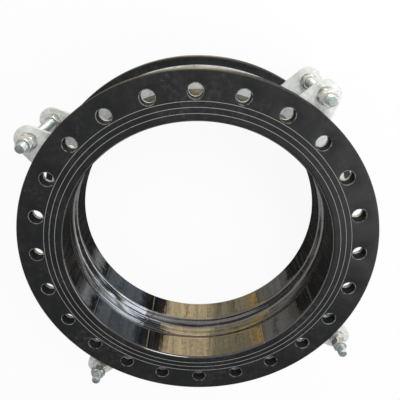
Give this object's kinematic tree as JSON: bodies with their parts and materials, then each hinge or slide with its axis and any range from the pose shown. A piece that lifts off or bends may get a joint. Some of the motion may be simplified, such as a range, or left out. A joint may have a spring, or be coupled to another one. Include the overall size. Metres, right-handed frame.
{
  "type": "rubber expansion joint",
  "caption": "Rubber expansion joint with full-face drilled flanges, a wide arch, split steel retaining rings behind the flanges, and threaded tie rods with nuts",
  "frame": {"origin": "On the bore's axis, in the plane of the lower flange's bead tops, which is where the part rests.", "axes": "+Z is the bore's axis and points from the lower flange to the upper one. +Y goes through the bolt hole at the top of the picture."},
  "size_m": [0.9349, 0.935, 0.302],
  "materials": {
    "rubber": "black moulded rubber, satin on the faces and glossier in the bore",
    "galvanised_plate": "dull hot-dip galvanised plate",
    "plated_rod": "zinc-plated thread",
    "plated_nut": "yellowish zinc plating"
  },
  "bodies": {
    "lower_end": {"rubber_body": "rubber", "bottom_ring_half_1": "galvanised_plate", "bottom_ring_half_2": "galvanised_plate", "tie_rod_1": "plated_rod", "tie_rod_2": "plated_rod", "tie_rod_3": "plated_rod", "tie_rod_4": "plated_rod", "bottom_nut_1": "plated_nut", "bottom_nut_2": "plated_nut", "bottom_nut_3": "plated_nut", "bottom_nut_4": "plated_nut", "inner_nut_1": "plated_nut", "inner_nut_2": "plated_nut", "inner_nut_3": "plated_nut", "inner_nut_4": "plated_nut", "top_nut_1": "plated_nut", "top_nut_2": "plated_nut", "top_nut_3": "plated_nut", "top_nut_4": "plated_nut", "lock_nut_1": "plated_nut", "lock_nut_2": "plated_nut", "lock_nut_3": "plated_nut", "lock_nut_4": "plated_nut"},
    "upper_end": {"top_ring_half_1": "galvanised_plate", "top_ring_half_2": "galvanised_plate"}
  },
  "joints": [
    {"name": "axial_compression", "type": "slide", "parent": "lower_end", "child": "upper_end", "axis": [0, 0, 1], "range_m": [-0.025, 0], "stiffness_N_per_m": 200000, "springref_m": 0.001, "deforming": ["rubber_body"]}
  ]
}
